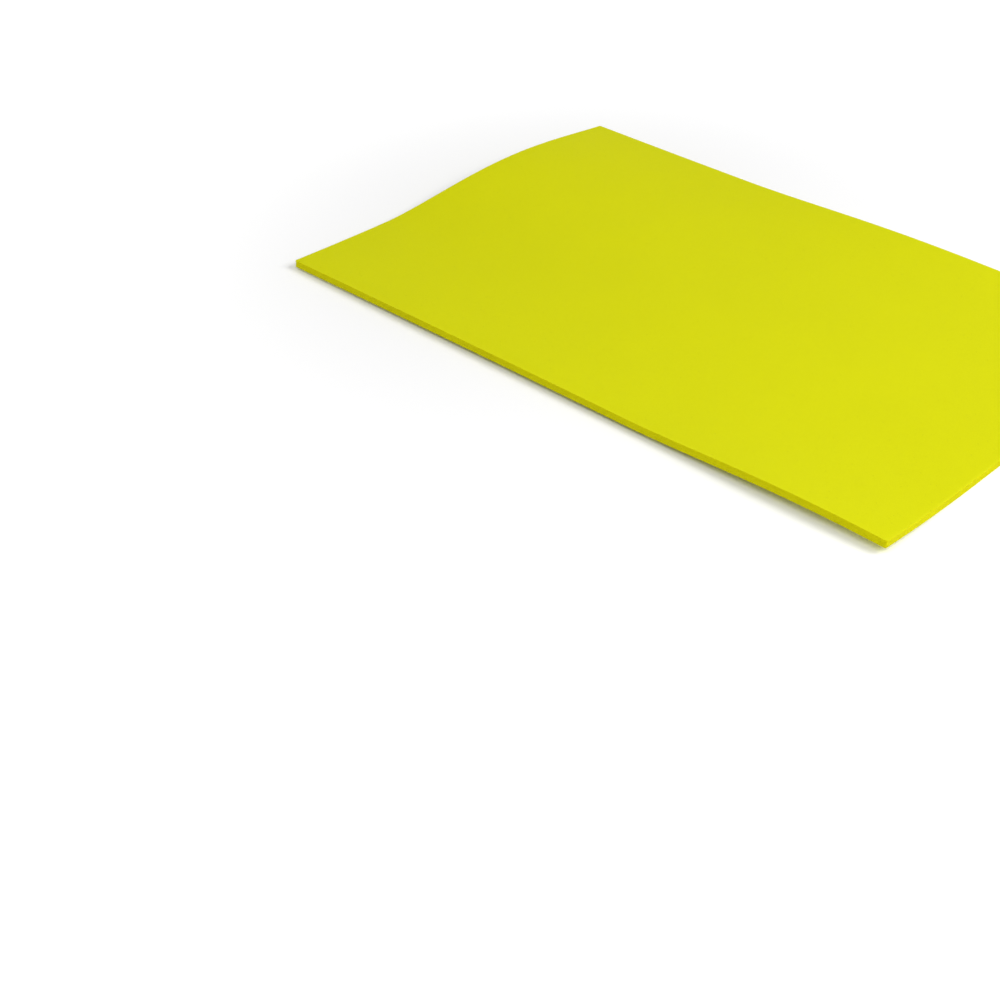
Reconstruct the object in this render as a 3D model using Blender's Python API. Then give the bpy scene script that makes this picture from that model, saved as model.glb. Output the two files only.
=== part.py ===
"""One craft foam sheet, cut square, lying on a level surface.

Run it with: blender --background --python part.py

Metres, +Z up. X runs along the sheet's long side and Y along its short side. The origin is the
middle of the underside, on the surface that the sheet lies on.

A sheet of soft foam keeps a little set from the way it was stored, so its border doesn't lie
quite flat: the left edge swells up, the front edge lifts a little all along and more near its
right end, and the back edge lifts a little in the middle. The middle of the sheet is flat and
carries its weight.
"""

from typing import NamedTuple

import bmesh
import bpy

MM = 0.001

# Cut size of the sheet
SHEET_LENGTH = 300 * MM
SHEET_WIDTH = 200 * MM
SHEET_THICKNESS = 3 * MM

# Side of one facet of its faces, small enough for the swells to be smooth
FACET = 10 * MM

# Opaque yellow foam with a matt skin
FOAM_COLOUR = (0.64, 0.66, 0.012, 1.0)
FOAM_ROUGHNESS = 0.62

LEFT = -SHEET_LENGTH / 2
FRONT = -SHEET_WIDTH / 2
BACK = SHEET_WIDTH / 2


class EdgeSwell(NamedTuple):
    """A stretch of an edge that has lifted, with its highest point at (x, y) on the edge.

    It reaches to both sides of that point along the edge, and inwards from the edge.
    """

    x: float
    y: float
    height: float
    along: float
    inwards: float
    edge_runs_along_x: bool


SWELLS = (
    EdgeSwell(
        x=LEFT,
        y=35 * MM,
        height=5.9 * MM,
        along=83 * MM,
        inwards=150 * MM,
        edge_runs_along_x=False,
    ),
    EdgeSwell(
        x=-20 * MM,
        y=FRONT,
        height=1.5 * MM,
        along=280 * MM,
        inwards=60 * MM,
        edge_runs_along_x=True,
    ),
    EdgeSwell(
        x=123 * MM,
        y=FRONT,
        height=2.7 * MM,
        along=88 * MM,
        inwards=60 * MM,
        edge_runs_along_x=True,
    ),
    EdgeSwell(
        x=33 * MM,
        y=BACK,
        height=2 * MM,
        along=90 * MM,
        inwards=60 * MM,
        edge_runs_along_x=True,
    ),
)


def clear_scene() -> None:
    """Remove every object that the scene started with."""
    for old in list(bpy.data.objects):
        bpy.data.objects.remove(old, do_unlink=True)


def curl(share: float) -> float:
    """Height of an evenly curled strip: 1 at its free end, 0 where it meets the surface."""
    return max(0.0, 1.0 - share) ** 2


def fade(share: float) -> float:
    """A round bump: 1 in the middle, falling smoothly to 0 at a share of 1 on either side."""
    return max(0.0, 1.0 - share * share) ** 2


def swell_height(swell: EdgeSwell, x: float, y: float) -> float:
    """Height of a lifted edge over (x, y)."""
    from_edge, from_top = abs(x - swell.x), abs(y - swell.y)
    if swell.edge_runs_along_x:
        from_edge, from_top = from_top, from_edge
    return swell.height * curl(from_edge / swell.inwards) * fade(from_top / swell.along)


def underside_height(x: float, y: float) -> float:
    """Height of the sheet's underside over the surface that it lies on."""
    return sum(swell_height(swell, x, y) for swell in SWELLS)


def foam_material() -> bpy.types.Material:
    """Opaque yellow closed-cell foam with a smooth matt skin."""
    material = bpy.data.materials.new("yellow_foam")
    material.use_nodes = True
    shader = material.node_tree.nodes["Principled BSDF"]
    shader.inputs["Base Color"].default_value = FOAM_COLOUR
    shader.inputs["Roughness"].default_value = FOAM_ROUGHNESS
    shader.inputs["Metallic"].default_value = 0.0
    material.diffuse_color = FOAM_COLOUR
    return material


def underside_mesh() -> bpy.types.Mesh:
    """The sheet's underside: a grid of facets over its cut outline, lifted where the border lifts."""
    cells_long = round(SHEET_LENGTH / FACET)
    cells_wide = round(SHEET_WIDTH / FACET)
    grid = bmesh.new()
    bmesh.ops.create_grid(grid, x_segments=cells_long, y_segments=cells_wide, size=0.5)
    for corner in grid.verts:
        corner.co.x *= SHEET_LENGTH
        corner.co.y *= SHEET_WIDTH
        corner.co.z = underside_height(corner.co.x, corner.co.y)
    mesh = bpy.data.meshes.new("foam_sheet")
    grid.to_mesh(mesh)
    grid.free()
    return mesh


def build_foam_sheet() -> bpy.types.Object:
    """The sheet: its underside, thickened upwards to the foam's even thickness."""
    sheet = bpy.data.objects.new("foam_sheet", underside_mesh())
    bpy.context.scene.collection.objects.link(sheet)
    sheet.data.materials.append(foam_material())
    thickness = sheet.modifiers.new("foam thickness", "SOLIDIFY")
    thickness.thickness = SHEET_THICKNESS
    thickness.offset = 1.0
    return sheet


def main() -> None:
    """Build the sheet in an empty scene."""
    clear_scene()
    build_foam_sheet()


if __name__ == "__main__":
    main()
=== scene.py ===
"""Looks of one craft foam sheet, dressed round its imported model.

The sheet is a single cut of closed-cell foam: two matt skins and the edge that the cutting die
left. All of it is worked out flat first, as points (x, y, h) of a square-cut slab, and then bent
by one function that lifts the border where the foam has kept a set. Lengths are in metres.
"""

import logging
import math
from dataclasses import dataclass
from enum import Enum

import bpy
import numpy as np
from mathutils import Matrix, Vector


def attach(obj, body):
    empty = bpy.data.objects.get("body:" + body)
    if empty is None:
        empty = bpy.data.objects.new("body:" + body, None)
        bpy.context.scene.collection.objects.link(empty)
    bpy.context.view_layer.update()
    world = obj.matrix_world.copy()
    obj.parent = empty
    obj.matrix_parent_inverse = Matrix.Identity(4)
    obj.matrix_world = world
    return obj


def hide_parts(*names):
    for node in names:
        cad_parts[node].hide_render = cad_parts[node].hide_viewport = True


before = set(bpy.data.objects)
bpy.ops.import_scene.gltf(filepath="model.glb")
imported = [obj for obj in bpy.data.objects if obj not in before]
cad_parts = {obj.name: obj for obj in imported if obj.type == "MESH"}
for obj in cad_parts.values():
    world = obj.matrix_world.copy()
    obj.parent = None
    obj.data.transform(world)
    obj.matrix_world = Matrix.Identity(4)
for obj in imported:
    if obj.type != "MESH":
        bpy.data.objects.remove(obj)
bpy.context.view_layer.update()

MM = 0.001
log = logging.getLogger("craft_foam_sheet")

Colour = tuple[float, float, float, float]
Socket = bpy.types.NodeSocket

# The colour sockets of a Mix node, by number, because each kind of value has the same names there
MIX_FIRST = 6
MIX_SECOND = 7
MIX_RESULT = 2


class Edge(Enum):
    """The edges that have lifted, by the way they face in the sheet's own plane."""

    LEFT = (-1, 0)
    FRONT = (0, -1)
    BACK = (0, 1)


class Face(Enum):
    """What a facet of the sheet is, as the number of its material on the mesh."""

    SKIN = 0
    CUT = 1


class Operation(Enum):
    """A step of arithmetic between nodes, by its name in Blender."""

    SUBTRACT = "SUBTRACT"
    MULTIPLY = "MULTIPLY"
    DIVIDE = "DIVIDE"
    MULTIPLY_ADD = "MULTIPLY_ADD"
    MAXIMUM = "MAXIMUM"


class Blend(Enum):
    """How one colour goes over another, by its name in Blender."""

    MIX = "MIX"
    MULTIPLY = "MULTIPLY"


def curl(share: np.ndarray) -> np.ndarray:
    """An evenly curled strip: (1 - share) squared, and 0 past a share of 1.

    Args:
        share: distance from the free end over the strip's reach.

    Returns:
        Height, from 1 at the free end to 0 where the strip meets the surface.
    """
    return np.clip(1.0 - share, 0.0, None) ** 2


def fade(share: np.ndarray) -> np.ndarray:
    """A round bump: (1 - share squared) squared, and 0 past a share of 1.

    Args:
        share: distance from the bump's top over its reach.

    Returns:
        Height, from 1 at the top down to 0, level at both.
    """
    return np.clip(1.0 - share**2, 0.0, None) ** 2


@dataclass(frozen=True)
class EdgeSwell:
    """A stretch of one edge that has lifted.

    It is highest at one place along the edge, and reaches along it to both sides and inwards.
    """

    edge: Edge
    at: float
    height: float
    along: float
    inwards: float

    def lift(self, x: np.ndarray, y: np.ndarray, half: tuple[float, float]) -> np.ndarray:
        """Height over (x, y): the curl of the distance from the edge, times the fade along it.

        Args:
            x: places along the sheet.
            y: places across the sheet.
            half: half the sheet's length and half its width.

        Returns:
            The swell's height at each place.
        """
        out_x, out_y = self.edge.value
        from_edge = half[0] * abs(out_x) + half[1] * abs(out_y) - (x * out_x + y * out_y)
        place = y if out_x else x
        return self.height * curl(from_edge / self.inwards) * fade((place - self.at) / self.along)


def graded_lines(span: float, first: float, growth: float, cell: float) -> np.ndarray:
    """Places of grid lines over a span, close together at both ends and even in between.

    Steps from each end are first, first * growth, first * growth squared and so on up to the
    cell size, and equal cells fill the middle.

    Args:
        span: length that the lines cover, centred on 0.
        first: step next to each end.
        growth: ratio of one step to the one before it.
        cell: size of the cells in the middle.

    Returns:
        The places, rising from -span / 2 to span / 2.
    """
    steps = first * growth ** np.arange(math.ceil(math.log(cell / first, growth)))
    near = np.concatenate([[0.0], np.cumsum(steps)])
    cells = round((span - 2 * near[-1]) / cell)
    middle = np.linspace(near[-1], span - near[-1], cells + 1)[1:-1]
    return np.concatenate([near, middle, span - near[::-1]]) - span / 2


def round_corners(points: np.ndarray, half: np.ndarray, radius: float) -> np.ndarray:
    """Points of a rectangle, with each square corner pressed into a quarter disc.

    Inside the corner's square of that radius, with u and v running from 0 to 1 outwards, u becomes
    u * sqrt(1 - v squared / 2) and v becomes v * sqrt(1 - u squared / 2).

    Args:
        points: (..., 2) places.
        half: half the rectangle's sides, for each point or for all.
        radius: radius of the corners.

    Returns:
        (..., 2) places on the rounded rectangle.
    """
    core = half - radius
    out = np.clip(np.abs(points) - core, 0.0, None) / radius
    squeezed = out * np.sqrt(1.0 - out[..., ::-1] ** 2 / 2)
    return np.where(out > 0, np.sign(points) * (core + radius * squeezed), points)


def quads(corners: np.ndarray) -> np.ndarray:
    """Faces of a grid of vertex numbers.

    Args:
        corners: (rows, columns) numbers of the vertices.

    Returns:
        (n, 4) faces, anticlockwise seen with rows going up and columns going right.
    """
    low, high = corners[:-1], corners[1:]
    return np.stack([low[:, :-1], low[:, 1:], high[:, 1:], high[:, :-1]], axis=-1).reshape(-1, 4)


def outer_loop(corners: np.ndarray) -> np.ndarray:
    """Numbers of a grid's outermost vertices, once round it anticlockwise from the first."""
    sides = (corners[0, :-1], corners[:-1, -1], corners[-1, :0:-1], corners[:0:-1, 0])
    return np.concatenate(sides)


@dataclass
class FoamSheet:
    """The sheet: a square-cut slab of foam whose border lifts a little in places."""

    name: str = "yellow_foam_sheet"
    node: str = "foam_sheet"
    slot: str = "yellow_foam"
    length: float = 300 * MM
    width: float = 200 * MM
    thickness: float = 3 * MM
    # How the foam's border has lifted
    swells: tuple[EdgeSwell, ...] = (
        EdgeSwell(Edge.LEFT, at=35 * MM, height=5.9 * MM, along=83 * MM, inwards=150 * MM),
        EdgeSwell(Edge.FRONT, at=-20 * MM, height=1.5 * MM, along=280 * MM, inwards=60 * MM),
        EdgeSwell(Edge.FRONT, at=123 * MM, height=2.7 * MM, along=88 * MM, inwards=60 * MM),
        EdgeSwell(Edge.BACK, at=33 * MM, height=2 * MM, along=90 * MM, inwards=60 * MM),
    )
    # What the cutting die leaves: a rounded upper arris, a crisper lower one, a hollowed wall
    upper_arris: float = 0.16 * MM
    lower_arris: float = 0.12 * MM
    hollow: float = 0.10 * MM
    corner_radius: float = 0.7 * MM
    # The upper skin is drawn down a little towards the cut
    draw_down: float = 0.05 * MM
    draw_reach: float = 1.6 * MM
    # Uneven splitting of the foam block leaves the upper skin very slightly wavy: two sines, each
    # over a weighted sum of x and y, that die out in a margin next to the cut
    wave_height: float = 0.05 * MM
    wave_length: float = 46 * MM
    wave_weights: tuple[tuple[float, float], ...] = ((1.0, 0.4), (-0.2, 0.7))
    wave_phase: float = 1.0
    wave_margin: float = 6.4 * MM
    # Mesh
    first_step: float = 0.12 * MM
    step_growth: float = 1.45
    cell: float = 2.5 * MM
    arris_steps: int = 5
    wall_steps: int = 6
    slope_step: float = 0.1 * MM

    @property
    def half(self) -> tuple[float, float]:
        """Half the length and half the width."""
        return self.length / 2, self.width / 2

    def lift(self, x: np.ndarray, y: np.ndarray) -> np.ndarray:
        """Height of the underside over (x, y): the sum of the swells there."""
        return sum(swell.lift(x, y, self.half) for swell in self.swells)

    def bend(self, flat: np.ndarray) -> np.ndarray:
        """Places of the slab's points once the foam has taken its set.

        A point at (x, y, h) goes to the underside at (x, y), and then h along the underside's
        normal, which comes from the lift's central differences.

        Args:
            flat: (n, 3) points of the flat slab.

        Returns:
            (n, 3) points of the sheet as it lies.
        """
        x, y, h = flat.T
        step = self.slope_step
        slope_x = (self.lift(x + step, y) - self.lift(x - step, y)) / (2 * step)
        slope_y = (self.lift(x, y + step) - self.lift(x, y - step)) / (2 * step)
        normal = np.stack([-slope_x, -slope_y, np.ones_like(x)], axis=-1)
        normal /= np.linalg.norm(normal, axis=-1, keepdims=True)
        return np.stack([x, y, self.lift(x, y)], axis=-1) + h[:, None] * normal

    def skin(self, inset: float) -> tuple[np.ndarray, np.ndarray]:
        """Grid of one skin, from cut to cut.

        Args:
            inset: how far inside the cut outline the skin ends.

        Returns:
            (rows, columns, 2) places, and the distance of each from the cut outline.
        """
        span_x, span_y = self.length - 2 * inset, self.width - 2 * inset
        lines_x = graded_lines(span_x, self.first_step, self.step_growth, self.cell)
        lines_y = graded_lines(span_y, self.first_step, self.step_growth, self.cell)
        x, y = np.meshgrid(lines_x, lines_y)
        from_cut = np.minimum(self.half[0] - np.abs(x), self.half[1] - np.abs(y))
        return np.stack([x, y], axis=-1), from_cut

    def wave(self, skin: np.ndarray, from_cut: np.ndarray) -> np.ndarray:
        """Waviness of the upper skin.

        It is the wave height, times the sine of each weighted sum of x and y in turns of the wave
        length, times 1 less the curl of the distance from the cut over the margin.

        Args:
            skin: (rows, columns, 2) places.
            from_cut: distance of each place from the cut outline.

        Returns:
            (rows, columns) heights over the even skin.
        """
        turn = 2 * math.pi / self.wave_length
        first, second = (turn * (skin @ np.array(weights)) for weights in self.wave_weights)
        rolling = np.sin(first) * np.sin(second + self.wave_phase)
        return self.wave_height * rolling * (1 - curl(from_cut / self.wave_margin))

    def upper_height(self, skin: np.ndarray, from_cut: np.ndarray) -> np.ndarray:
        """Height of the upper skin over the underside.

        It is the thickness, less the draw-down times the curl of the distance from the skin's own
        border over the reach, plus the wave.

        Args:
            skin: (rows, columns, 2) places.
            from_cut: distance of each place from the cut outline.

        Returns:
            (rows, columns) heights.
        """
        pressed = self.draw_down * curl((from_cut - self.upper_arris) / self.draw_reach)
        return self.thickness - pressed + self.wave(skin, from_cut)

    def section(self) -> tuple[np.ndarray, np.ndarray]:
        """Section of the cut edge, from the upper skin down to the lower one.

        Two quarter arcs, the upper and lower arris, with a wall between them that is hollowed by
        hollow * 4 * s * (1 - s), where s runs from 0 to 1 down the wall.

        Returns:
            Inset from the cut outline, and height, at each step down.
        """
        top = self.thickness - self.draw_down
        turn = np.linspace(0, math.pi / 2, self.arris_steps + 1)
        down = np.linspace(0, 1, self.wall_steps + 1)[1:-1]
        wall_top, wall_foot = top - self.upper_arris, self.lower_arris
        inset = np.concatenate(
            [
                self.upper_arris * (1 - np.sin(turn)),
                self.hollow * 4 * down * (1 - down),
                self.lower_arris * (1 - np.cos(turn)),
            ]
        )
        height = np.concatenate(
            [
                top - self.upper_arris * (1 - np.cos(turn)),
                wall_top + (wall_foot - wall_top) * down,
                self.lower_arris * (1 - np.sin(turn)),
            ]
        )
        return inset, height

    def raised(self, places: np.ndarray, half: np.ndarray, height: np.ndarray) -> np.ndarray:
        """Points of one layer of the slab: its places with their corners rounded, at their height.

        Args:
            places: (..., 2) places on a rectangle.
            half: half the rectangle's sides, for each place or for all.
            height: height of each place.

        Returns:
            (n, 3) points.
        """
        rounded = round_corners(places, half, self.corner_radius)
        return np.column_stack([rounded.reshape(-1, 2), height.ravel()])

    def slab(self) -> tuple[np.ndarray, np.ndarray, np.ndarray, np.ndarray]:
        """The flat slab as one closed surface: upper skin, rings of the cut edge, lower skin.

        Each ring of the cut edge is the upper skin's outermost loop, scaled to stand at that
        ring's inset.

        Returns:
            (n, 3) points, each one's distance from the cut outline, (m, 4) faces, and what each
            face is.
        """
        inset, height = self.section()
        upper, from_cut = self.skin(inset[0])
        lower, from_cut_below = self.skin(inset[-1])
        half = np.array(self.half)
        number = np.arange(from_cut.size).reshape(from_cut.shape)
        loop = outer_loop(number)
        ring_half = half - inset[1:-1, None, None]
        rings = upper.reshape(-1, 2)[loop] * (ring_half / (half - inset[0]))
        ring_height = np.broadcast_to(height[1:-1, None], rings.shape[:2])
        points = np.concatenate(
            [
                self.raised(upper, half - inset[0], self.upper_height(upper, from_cut)),
                self.raised(rings, ring_half, ring_height),
                self.raised(lower, half - inset[-1], np.full(from_cut.shape, height[-1])),
            ]
        )
        on_cut = np.zeros(ring_height.size)
        distance = np.concatenate([from_cut.ravel(), on_cut, from_cut_below.ravel()])
        faces, kinds = self.slab_faces(number, loop, len(rings))
        return points, distance, faces, kinds

    def slab_faces(
        self, number: np.ndarray, loop: np.ndarray, rings: int
    ) -> tuple[np.ndarray, np.ndarray]:
        """Faces of the slab, whose vertices are numbered from the upper skin down, ring by ring.

        The upper arris is skin down to its middle, and the cut begins there.

        Args:
            number: (rows, columns) numbers of the upper skin's vertices.
            loop: numbers of its outermost vertices, once round.
            rings: how many rings the cut edge has between the two skins.

        Returns:
            (m, 4) faces that point outwards, and what each one is.
        """
        below = number.size + rings * len(loop)
        ring_numbers = np.arange(number.size, below).reshape(rings, -1)
        wall = np.vstack([loop, ring_numbers, below + loop])
        wall = np.column_stack([wall, wall[:, 0]])
        skin_faces, wall_faces = quads(number), quads(wall)[:, ::-1]
        faces = np.concatenate([skin_faces, wall_faces, quads(below + number)[:, ::-1]])
        kinds = np.full(len(faces), Face.SKIN.value)
        arris_faces = (self.arris_steps // 2) * len(loop)
        kinds[len(skin_faces) + arris_faces : len(skin_faces) + len(wall_faces)] = Face.CUT.value
        return faces, kinds

    def build(self) -> bpy.types.Object:
        """Make the sheet's object and link it to the scene.

        Returns:
            The finished, still undressed piece.
        """
        flat, distance, faces, kinds = self.slab()
        mesh = bpy.data.meshes.new(self.name)
        mesh.from_pydata(self.bend(flat), [], faces)
        mesh.shade_smooth()
        mesh.polygons.foreach_set("material_index", kinds.astype(np.int32))
        from_cut = mesh.attributes.new("from_cut", "FLOAT", "POINT")
        from_cut.data.foreach_set("value", distance.astype(np.float32))
        mesh.update()
        sheet = bpy.data.objects.new(self.name, mesh)
        bpy.context.scene.collection.objects.link(sheet)
        return sheet

    def dress(self, sheet: bpy.types.Object, skin: "FoamFinish", cut: "FoamFinish") -> None:
        """Give the skins and the cut edge their finishes, in the order of Face."""
        for finish in (skin, cut):
            sheet.data.materials.append(finish.material())

    def declare(self, sheet: bpy.types.Object) -> None:
        """Hang the sheet on the root body, and hide the imported part that it replaces.

        Args:
            sheet: the finished piece.
        """
        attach(sheet, "root")
        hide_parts(self.node)


class NodeSketch:
    """Adds nodes to a tree and joins them, so that a pattern reads as a few lines."""

    def __init__(self, tree: bpy.types.NodeTree) -> None:
        """Start on a tree."""
        self.tree = tree

    def add(self, kind: str, **settings: object) -> bpy.types.Node:
        """Add a node.

        Args:
            kind: the node's type name, without its "ShaderNode" beginning where it has one.
            settings: properties of the node to set.

        Returns:
            The new node.
        """
        node = self.tree.nodes.new(kind if kind.startswith("Node") else "ShaderNode" + kind)
        for key, value in settings.items():
            setattr(node, key, value)
        return node

    def feed(self, socket: Socket, value: object) -> None:
        """Link another socket into this one, or set it to a plain value.

        Args:
            socket: an input socket.
            value: an output socket, or a value.
        """
        if isinstance(value, Socket):
            self.tree.links.new(value, socket)
        else:
            socket.default_value = value

    def math(self, operation: Operation, *values: object) -> Socket:
        """Put values through one step of arithmetic.

        Args:
            operation: the step.
            values: sockets or numbers, in the order that the step takes them.

        Returns:
            The result.
        """
        node = self.add("Math", operation=operation.value)
        for socket, value in zip(node.inputs, values):
            self.feed(socket, value)
        return node.outputs["Value"]

    def scaled(self, vector: Socket, by: object) -> Socket:
        """Multiply a vector by one number.

        Args:
            vector: the vector.
            by: the number, or the socket that gives it.

        Returns:
            The longer or shorter vector.
        """
        node = self.add("VectorMath", operation="SCALE")
        self.feed(node.inputs[0], vector)
        self.feed(node.inputs["Scale"], by)
        return node.outputs["Vector"]

    def in_units(self, vector: Socket, unit: Socket) -> Socket:
        """Give a place in metres as a number of units of length along each axis."""
        return self.scaled(vector, self.math(Operation.DIVIDE, 1.0, unit))

    def stretched(self, vector: Socket, by: Vector) -> Socket:
        """Multiply a vector by another, part by part.

        Args:
            vector: the vector.
            by: the factor along each axis.

        Returns:
            The stretched vector.
        """
        node = self.add("VectorMath", operation="MULTIPLY")
        self.feed(node.inputs[0], vector)
        self.feed(node.inputs[1], by)
        return node.outputs["Vector"]

    def noise(self, vector: Socket, detail: float) -> Socket:
        """Draw soft noise.

        Args:
            vector: place, in grains of the noise.
            detail: how many finer octaves go into it.

        Returns:
            The noise, about 0.5.
        """
        node = self.add("TexNoise")
        self.feed(node.inputs["Vector"], vector)
        node.inputs["Scale"].default_value = 1.0
        node.inputs["Detail"].default_value = detail
        return node.outputs["Fac"]

    def cells(self, vector: Socket) -> tuple[Socket, Socket]:
        """Break space into cells a unit apart.

        Args:
            vector: place, in cells.

        Returns:
            Distance from the middle of the nearest cell, and that cell's own random number.
        """
        node = self.add("TexVoronoi", feature="F1")
        self.feed(node.inputs["Vector"], vector)
        node.inputs["Scale"].default_value = 1.0
        parts = self.add("SeparateColor")
        self.feed(parts.inputs["Color"], node.outputs["Color"])
        return node.outputs["Distance"], parts.outputs["Red"]

    def smooth(self, value: Socket, low: float, high: float) -> Socket:
        """Ramp a value smoothly.

        Args:
            value: the value.
            low: where the ramp begins, at 0.
            high: where it ends, at 1.

        Returns:
            The place on the ramp.
        """
        node = self.add("MapRange", interpolation_type="SMOOTHSTEP")
        self.feed(node.inputs["Value"], value)
        node.inputs["From Min"].default_value = low
        node.inputs["From Max"].default_value = high
        return node.outputs["Result"]

    def less(self, value: Socket) -> Socket:
        """Take a value from 1."""
        return self.math(Operation.SUBTRACT, 1.0, value)

    def mixed(self, share: object, first: object, second: object, blend: Blend) -> Socket:
        """Put a second colour over a first one.

        Args:
            share: how much of the second colour, from 0 to 1.
            first: the colour below.
            second: the colour on top.
            blend: how it goes over the first.

        Returns:
            The colour that comes of it.
        """
        node = self.add("Mix", data_type="RGBA", blend_type=blend.value)
        self.feed(node.inputs["Factor"], share)
        self.feed(node.inputs[MIX_FIRST], first)
        self.feed(node.inputs[MIX_SECOND], second)
        return node.outputs[MIX_RESULT]


class Pattern:
    """A shader node group with named inputs and outputs, built once and shared by finishes."""

    title: str = ""
    inputs: tuple[tuple[str, float], ...] = ()
    outputs: tuple[str, ...] = ()

    def group(self) -> bpy.types.NodeTree:
        """The pattern's node group, made the first time that it is asked for.

        Returns:
            The group.
        """
        made = bpy.data.node_groups.get(self.title)
        if made is None:
            made = bpy.data.node_groups.new(self.title, "ShaderNodeTree")
            face = made.interface
            face.new_socket("Vector", in_out="INPUT", socket_type="NodeSocketVector")
            for name, usual in self.inputs:
                socket = face.new_socket(name, in_out="INPUT", socket_type="NodeSocketFloat")
                socket.default_value = usual
            for name in self.outputs:
                face.new_socket(name, in_out="OUTPUT", socket_type="NodeSocketFloat")
            sketch = NodeSketch(made)
            given = sketch.add("NodeGroupInput").outputs
            result = sketch.add("NodeGroupOutput").inputs
            self.draw(sketch, given, result)
        return made

    def draw(
        self, sketch: NodeSketch, given: bpy.types.NodeOutputs, result: bpy.types.NodeInputs
    ) -> None:
        """Draw the pattern's nodes between its inputs and its outputs.

        Args:
            sketch: the group's nodes.
            given: the group's inputs by name, with Vector the place in metres.
            result: the group's outputs by name.
        """
        raise NotImplementedError

    def place(self, sketch: NodeSketch, vector: Socket, **values: float) -> bpy.types.NodeOutputs:
        """Put the pattern into a material.

        Args:
            sketch: the material's nodes.
            vector: place on the piece, in metres.
            values: the group's other inputs by name, with _ for a space.

        Returns:
            The outputs of the group's node.
        """
        node = sketch.add("Group", node_tree=self.group())
        sketch.feed(node.inputs["Vector"], vector)
        for name, value in values.items():
            node.inputs[name.replace("_", " ")].default_value = value
        return node.outputs


class ClosedCells(Pattern):
    """Foam cells seen on a split or cut face: shallow pits with thin walls between them."""

    title = "closed foam cells"
    inputs = (("Cell Size", 0.3 * MM),)
    outputs = ("Pits", "Height")
    # A dimple's flat bottom and its rim, in cells from its middle, and the least depth of one
    bottom: float = 0.05
    rim: float = 0.65
    least_depth: float = 0.3

    def draw(
        self, sketch: NodeSketch, given: bpy.types.NodeOutputs, result: bpy.types.NodeInputs
    ) -> None:
        """Each cell is a dimple, deepest in its middle, whose depth is drawn anew for each cell.

        Pits are that depth, from 0 to 1, and Height is 1 less Pits. The finishes also darken the
        colour by Pits, as painted shade.

        Args:
            sketch: the group's nodes.
            given: Vector and Cell Size.
            result: Pits and Height.
        """
        middle, chance = sketch.cells(sketch.in_units(given["Vector"], given["Cell Size"]))
        dimple = sketch.less(sketch.smooth(middle, self.bottom, self.rim))
        spread = 1.0 - self.least_depth
        depth = sketch.math(Operation.MULTIPLY_ADD, chance, spread, self.least_depth)
        pits = sketch.math(Operation.MULTIPLY, dimple, depth)
        sketch.feed(result["Pits"], pits)
        sketch.feed(result["Height"], sketch.less(pits))


class OpenPores(Pattern):
    """A few larger bubbles that the knife or the die opened, as small round holes."""

    title = "open pores"
    inputs = (("Spacing", 2.0 * MM), ("Reach", 0.13))
    outputs = ("Pores", "Height")
    # The smallest bubble's part of the reach, and where a bubble's rim begins, in its own radii
    least_radius: float = 0.2
    rim: float = 0.55

    def draw(
        self, sketch: NodeSketch, given: bpy.types.NodeOutputs, result: bpy.types.NodeInputs
    ) -> None:
        """A bubble lies at each cell's middle, and its radius is a random part of Reach cells.

        Pores are 1 inside a bubble and 0 outside it, with a soft rim, and Height is 1 less Pores.
        The finishes also darken the colour by Pores, as painted shade.

        Args:
            sketch: the group's nodes.
            given: Vector, Spacing and Reach.
            result: Pores and Height.
        """
        middle, chance = sketch.cells(sketch.in_units(given["Vector"], given["Spacing"]))
        spread = 1.0 - self.least_radius
        part = sketch.math(Operation.MULTIPLY_ADD, chance, spread, self.least_radius)
        radius = sketch.math(Operation.MULTIPLY, given["Reach"], part)
        from_middle = sketch.math(Operation.DIVIDE, middle, radius)
        pores = sketch.less(sketch.smooth(from_middle, self.rim, 1.0))
        sketch.feed(result["Pores"], pores)
        sketch.feed(result["Height"], sketch.less(pores))


class ToneDrift(Pattern):
    """Slow drift of tone and fine mottling, from uneven pigment and density in the foam."""

    title = "tone drift"
    inputs = (("Patch Size", 40 * MM), ("Fine Share", 0.3))
    outputs = ("Drift",)
    # Patches for each grain of the mottling, and the octaves of both
    fineness: float = 20.0
    detail: float = 2.0

    def draw(
        self, sketch: NodeSketch, given: bpy.types.NodeOutputs, result: bpy.types.NodeInputs
    ) -> None:
        """Drift mixes noise at the patch size with much finer noise, about a mean of 0.5.

        Args:
            sketch: the group's nodes.
            given: Vector, Patch Size and Fine Share.
            result: Drift.
        """
        place = sketch.in_units(given["Vector"], given["Patch Size"])
        mixed = sketch.add("Mix", data_type="FLOAT")
        sketch.feed(mixed.inputs["Factor"], given["Fine Share"])
        sketch.feed(mixed.inputs["A"], sketch.noise(place, self.detail))
        finer = sketch.scaled(place, self.fineness)
        sketch.feed(mixed.inputs["B"], sketch.noise(finer, self.detail))
        sketch.feed(result["Drift"], mixed.outputs["Result"])


class SplitLines(Pattern):
    """Faint straight lines that the band knife leaves where it splits the foam block."""

    title = "band knife lines"
    inputs = (("Pitch", 1.6 * MM),)
    outputs = ("Lines",)
    # Pitches for each grain of the noise, along the sheet, across it and through it
    stretch: Vector = Vector((0.012, 1.0, 0.3))
    detail: float = 3.0

    def draw(
        self, sketch: NodeSketch, given: bpy.types.NodeOutputs, result: bpy.types.NodeInputs
    ) -> None:
        """Lines are noise at the pitch across the sheet, drawn out long along it."""
        place = sketch.stretched(sketch.in_units(given["Vector"], given["Pitch"]), self.stretch)
        sketch.feed(result["Lines"], sketch.noise(place, self.detail))


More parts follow.
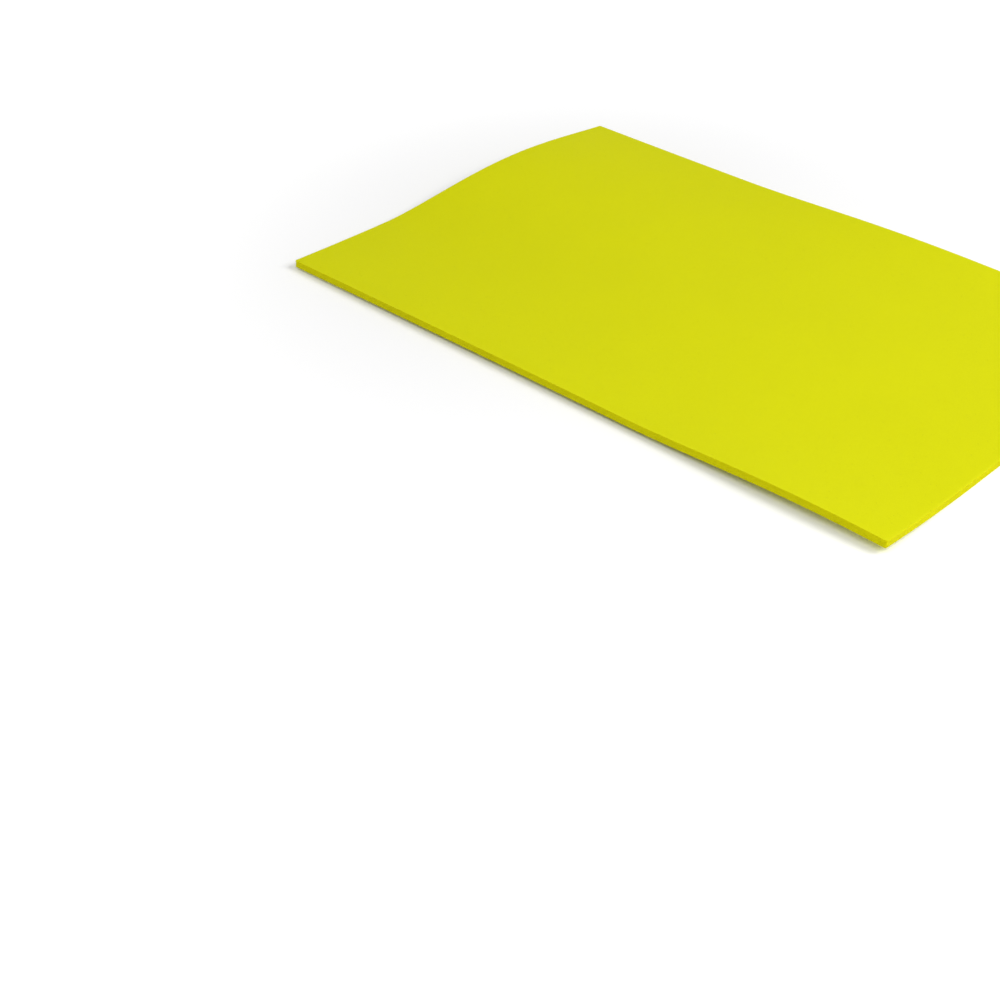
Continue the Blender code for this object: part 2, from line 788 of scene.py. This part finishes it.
class SatinSkin(Pattern):
    """The soft unevenness of a foam's skin, which the light shows as a satin grain."""

    title = "satin skin"
    inputs = (("Grain", 0.9 * MM),)
    outputs = ("Height",)
    detail: float = 1.0

    def draw(
        self, sketch: NodeSketch, given: bpy.types.NodeOutputs, result: bpy.types.NodeInputs
    ) -> None:
        """Height is noise at the grain, with one finer octave in it."""
        place = sketch.in_units(given["Vector"], given["Grain"])
        sketch.feed(result["Height"], sketch.noise(place, self.detail))


@dataclass(frozen=True)
class FoamFinish:
    """Matt coloured foam: its tones, its cells, and how the light meets it."""

    name: str
    light_tone: Colour
    deep_tone: Colour
    # A paler tone near the cut, which paints a highlight along the upper arris
    painted_highlight_tone: Colour
    roughness: float
    cell_size: float
    pit_depth: float
    # How much the pits darken the colour: painted shade in the hollows
    pit_painted_shade: float
    pore_spacing: float
    pore_depth: float
    # How much the pores darken the colour: painted shade in the holes
    pore_painted_shade: float
    line_depth: float
    satin_depth: float
    # How far in from the cut, and how strongly, the painted highlight on the upper arris reaches
    painted_highlight_reach: float
    painted_highlight_share: float
    patch_size: float = 55 * MM
    fine_share: float = 0.35
    drift_span: tuple[float, float] = (0.3, 0.7)
    satin_spread: float = 0.08
    pit_roughness: float = 0.15
    specular: float = 0.06
    # A little light goes through the foam near its surface, red the deepest and blue hardly at all
    glow_share: float = 0.12
    glow_depth: float = 0.9 * MM
    glow_reach: tuple[float, float, float] = (1.0, 0.85, 0.1)

    def material(self) -> bpy.types.Material:
        """Build the finish.

        The fine relief is the knife's lines, the satin grain, the cells and the pores, one on top
        of the other.

        Returns:
            The material.
        """
        made = bpy.data.materials.new(self.name)
        made.use_nodes = True
        made.diffuse_color = self.light_tone
        sketch = NodeSketch(made.node_tree)
        place = sketch.add("TexCoord").outputs["Object"]
        cells = ClosedCells().place(sketch, place, Cell_Size=self.cell_size)
        pores = OpenPores().place(sketch, place, Spacing=self.pore_spacing)
        drift = ToneDrift().place(
            sketch, place, Patch_Size=self.patch_size, Fine_Share=self.fine_share
        )["Drift"]
        layers = (
            (SplitLines().place(sketch, place)["Lines"], self.line_depth),
            (SatinSkin().place(sketch, place)["Height"], self.satin_depth),
            (cells["Height"], self.pit_depth),
            (pores["Height"], self.pore_depth),
        )
        shader = made.node_tree.nodes["Principled BSDF"].inputs
        sketch.feed(shader["Base Color"], self.tone(sketch, drift, cells["Pits"], pores["Pores"]))
        sketch.feed(shader["Roughness"], self.dullness(sketch, drift, cells["Pits"]))
        sketch.feed(shader["Normal"], self.relief(sketch, layers))
        shader["Specular IOR Level"].default_value = self.specular
        shader["Subsurface Weight"].default_value = self.glow_share
        shader["Subsurface Radius"].default_value = self.glow_reach
        shader["Subsurface Scale"].default_value = self.glow_depth
        return made

    def tone(self, sketch: NodeSketch, drift: Socket, pits: Socket, pores: Socket) -> Socket:
        """Colour of the foam.

        It runs between deep and light with the drift, turns pale close to the cut in a painted
        highlight along the upper arris, and is darkened by painted shade in the pits and pores.

        Args:
            sketch: the material's nodes.
            drift: drift of the tone, about 0.5.
            pits: depth of the cells, which darkens the colour as painted shade.
            pores: the opened bubbles, which darken the colour as painted shade.

        Returns:
            The colour.
        """
        share = sketch.smooth(drift, *self.drift_span)
        tone = sketch.mixed(share, self.deep_tone, self.light_tone, Blend.MIX)
        # The paler band along the cut is a painted highlight on the upper arris
        tone = sketch.mixed(self.pale(sketch), tone, self.painted_highlight_tone, Blend.MIX)
        # The pits and pores are darkened by painted shade, multiplied in with the deep tone
        for mask, shade in ((pits, self.pit_painted_shade), (pores, self.pore_painted_shade)):
            share = sketch.math(Operation.MULTIPLY, mask, shade)
            tone = sketch.mixed(share, tone, self.deep_tone, Blend.MULTIPLY)
        return tone

    def pale(self, sketch: NodeSketch) -> Socket:
        """Share of the painted highlight on the upper arris: most at the cut, none past its reach.

        Args:
            sketch: the material's nodes.

        Returns:
            The share.
        """
        from_cut = sketch.add("Attribute", attribute_name="from_cut").outputs["Fac"]
        near_cut = sketch.less(sketch.smooth(from_cut, 0.0, self.painted_highlight_reach))
        return sketch.math(Operation.MULTIPLY, near_cut, self.painted_highlight_share)

    def dullness(self, sketch: NodeSketch, drift: Socket, pits: Socket) -> Socket:
        """Roughness of the foam: its own, plus a little with the drift and more in the pits."""
        skin = sketch.math(Operation.MULTIPLY_ADD, drift, self.satin_spread, self.roughness)
        return sketch.math(Operation.MULTIPLY_ADD, pits, self.pit_roughness, skin)

    def relief(self, sketch: NodeSketch, layers: tuple[tuple[Socket, float], ...]) -> Socket:
        """Normal of the fine relief.

        Args:
            sketch: the material's nodes.
            layers: heights from 0 to 1, each with its depth in metres, the lowest layer first.

        Returns:
            The normal of all the layers, one on top of the other.
        """
        normal = None
        for height, depth in layers:
            bump = sketch.add("Bump")
            bump.inputs["Strength"].default_value = 1.0
            bump.inputs["Distance"].default_value = depth
            sketch.feed(bump.inputs["Height"], height)
            if normal is not None:
                sketch.feed(bump.inputs["Normal"], normal)
            normal = bump.outputs["Normal"]
        return normal


# The skins: a painted highlight along the cut, and painted shade in the pits and pores
YELLOW_SKIN = FoamFinish(
    name="yellow_foam_skin",
    light_tone=(0.652, 0.660, 0.002, 1.0),
    deep_tone=(0.640, 0.648, 0.002, 1.0),
    painted_highlight_tone=(0.690, 0.700, 0.010, 1.0),
    roughness=0.58,
    cell_size=0.34 * MM,
    pit_depth=0.03 * MM,
    pit_painted_shade=0.22,
    pore_spacing=2.2 * MM,
    pore_depth=0.12 * MM,
    pore_painted_shade=0.5,
    line_depth=0.04 * MM,
    satin_depth=0.03 * MM,
    painted_highlight_reach=1.6 * MM,
    painted_highlight_share=0.25,
)
# The cut edge: painted shade in the pits and pores, and no painted highlight
YELLOW_CUT = FoamFinish(
    name="yellow_foam_cut",
    light_tone=(0.630, 0.606, 0.0015, 1.0),
    deep_tone=(0.590, 0.562, 0.001, 1.0),
    painted_highlight_tone=(0.650, 0.660, 0.0015, 1.0),
    roughness=0.75,
    cell_size=0.40 * MM,
    pit_depth=0.10 * MM,
    pit_painted_shade=0.45,
    pore_spacing=1.2 * MM,
    pore_depth=0.20 * MM,
    pore_painted_shade=0.6,
    line_depth=0.0,
    satin_depth=0.03 * MM,
    painted_highlight_reach=0.2 * MM,
    painted_highlight_share=0.0,
    patch_size=18 * MM,
    specular=0.04,
)


@dataclass(frozen=True)
class SoftLight:
    """A square soft light that faces the middle of the sheet."""

    name: str
    place: tuple[float, float, float]
    side: float
    power: float
    colour: tuple[float, float, float] = (1.0, 1.0, 1.0)

    def hang(self) -> bpy.types.Object:
        """Make the light and turn it to the sheet.

        Returns:
            The light's object.
        """
        data = bpy.data.lights.new(self.name, "AREA")
        data.shape = "SQUARE"
        data.size = self.side
        data.energy = self.power
        data.color = self.colour
        lamp = bpy.data.objects.new(self.name, data)
        towards = -Vector(self.place)
        turn = towards.to_track_quat("-Z", "Y").to_matrix().to_4x4()
        lamp.matrix_world = Matrix.Translation(Vector(self.place)) @ turn
        bpy.context.scene.collection.objects.link(lamp)
        return lamp


@dataclass(frozen=True)
class Viewpoint:
    """The photograph's viewpoint: what it looks at, from where, and through how long a lens.

    Azimuth 0 looks along +Y, and elevation is above the level, both in degrees.
    """

    target: tuple[float, float, float] = (37.0 * MM, -168.5 * MM, 3 * MM)
    azimuth: float = 43.56
    elevation: float = 34.99
    distance: float = 615.7 * MM
    lens_mm: float = 63.73
    sensor_mm: float = 36.0
    nearest: float = 10 * MM

    def set_up(self) -> bpy.types.Object:
        """Make the camera, and make it the scene's own.

        Returns:
            The camera's object.
        """
        around, above = math.radians(self.azimuth), math.radians(self.elevation)
        level = math.cos(above)
        back = Vector((math.sin(around) * level, -math.cos(around) * level, math.sin(above)))
        data = bpy.data.cameras.new("camera")
        data.lens = self.lens_mm
        data.sensor_width = self.sensor_mm
        data.clip_start = self.nearest
        camera = bpy.data.objects.new("camera", data)
        turn = (-back).to_track_quat("-Z", "Y").to_matrix().to_4x4()
        camera.matrix_world = Matrix.Translation(Vector(self.target) + back * self.distance) @ turn
        bpy.context.scene.collection.objects.link(camera)
        bpy.context.scene.camera = camera
        return camera


@dataclass(frozen=True)
class Studio:
    """A pale floor under soft light.

    The key light is behind the sheet's right end, a weaker fill is in front of it, and a pale sky
    lights the rest. Away from the sheet the floor glows a little, as a background with lamps of
    its own does, so that it stays pale where the two lights fall off.
    """

    floor_side: float = 12.0
    floor_drop: float = 0.1 * MM
    floor_tone: Colour = (0.96, 0.96, 0.96, 1.0)
    floor_roughness: float = 0.9
    glow_start: float = 0.1
    glow_end: float = 0.5
    glow: float = 0.64
    sky_overhead: float = 0.40
    sky_horizon: float = 1.0
    horizon_band: float = 0.25
    key: SoftLight = SoftLight("key_light", place=(0.82, 0.34, 0.80), side=0.6, power=9.6)
    fill: SoftLight = SoftLight("fill_light", place=(0.30, -0.60, 1.0), side=0.8, power=4.3)

    def floor(self) -> bpy.types.Object:
        """Lay a level square just under the sheet, marked as stage.

        Returns:
            The floor's object.
        """
        half = self.floor_side / 2
        ends = np.array([-half, half])
        x, y = np.meshgrid(ends, ends)
        points = np.column_stack([x.ravel(), y.ravel(), np.full(x.size, -self.floor_drop)])
        mesh = bpy.data.meshes.new("floor")
        mesh.from_pydata(points, [], quads(np.arange(x.size).reshape(x.shape)))
        mesh.materials.append(self.paper())
        floor = bpy.data.objects.new("floor", mesh)
        bpy.context.scene.collection.objects.link(floor)
        return floor

    def paper(self) -> bpy.types.Material:
        """Make the floor's matt white, whose glow ramps up with the distance from its middle.

        Returns:
            The material.
        """
        paper = bpy.data.materials.new("floor_paper")
        paper.use_nodes = True
        sketch = NodeSketch(paper.node_tree)
        shader = paper.node_tree.nodes["Principled BSDF"].inputs
        shader["Base Color"].default_value = self.floor_tone
        shader["Roughness"].default_value = self.floor_roughness
        shader["Specular IOR Level"].default_value = 0.0
        shader["Emission Strength"].default_value = self.glow
        away = sketch.add("VectorMath", operation="LENGTH")
        sketch.feed(away.inputs[0], sketch.add("TexCoord").outputs["Object"])
        far = sketch.smooth(away.outputs["Value"], self.glow_start, self.glow_end)
        tone = sketch.add("CombineColor")
        for channel in tone.inputs:
            sketch.feed(channel, far)
        sketch.feed(shader["Emission Color"], tone.outputs["Color"])
        return paper

    def sky(self) -> None:
        """Light the scene from all round, evenly overhead and brighter in a band at the horizon.

        Seen directly it is an even white backdrop, as bright as the horizon.
        """
        world = bpy.data.worlds.new("sky")
        world.use_nodes = True
        sketch = NodeSketch(world.node_tree)
        parts = sketch.add("SeparateXYZ")
        sketch.feed(parts.inputs["Vector"], sketch.add("TexCoord").outputs["Generated"])
        height = sketch.add("MapRange", interpolation_type="SMOOTHSTEP")
        sketch.feed(height.inputs["Value"], parts.outputs["Z"])
        height.inputs["From Min"].default_value = 0.0
        height.inputs["From Max"].default_value = self.horizon_band
        height.inputs["To Min"].default_value = self.sky_horizon
        height.inputs["To Max"].default_value = self.sky_overhead
        seen = sketch.add("LightPath").outputs["Is Camera Ray"]
        backdrop = sketch.math(Operation.MULTIPLY, seen, self.sky_horizon)
        light = world.node_tree.nodes["Background"].inputs
        strength = sketch.math(Operation.MAXIMUM, height.outputs["Result"], backdrop)
        sketch.feed(light["Strength"], strength)
        light["Color"].default_value = (1.0, 1.0, 1.0, 1.0)
        bpy.context.scene.world = world

    def set_up(self) -> None:
        """Lay the floor, light it, and show colours as they are."""
        self.floor()
        self.sky()
        for light in (self.key, self.fill):
            log.info("%s at %s", light.hang().name, light.place)
        bpy.context.scene.view_settings.view_transform = "Standard"


def main() -> None:
    """Build the sheet, dress it, and set up the studio and the camera round it."""
    logging.basicConfig(level=logging.INFO, format="%(name)s: %(message)s")
    sheet = FoamSheet()
    piece = sheet.build()
    sheet.dress(piece, YELLOW_SKIN, YELLOW_CUT)
    sheet.declare(piece)
    log.info("%s: %d faces, %s", piece.name, len(piece.data.polygons), piece.dimensions[:])
    Studio().set_up()
    camera = Viewpoint().set_up()
    log.info("camera at %s", camera.matrix_world.translation[:])


if __name__ == "__main__":
    main()
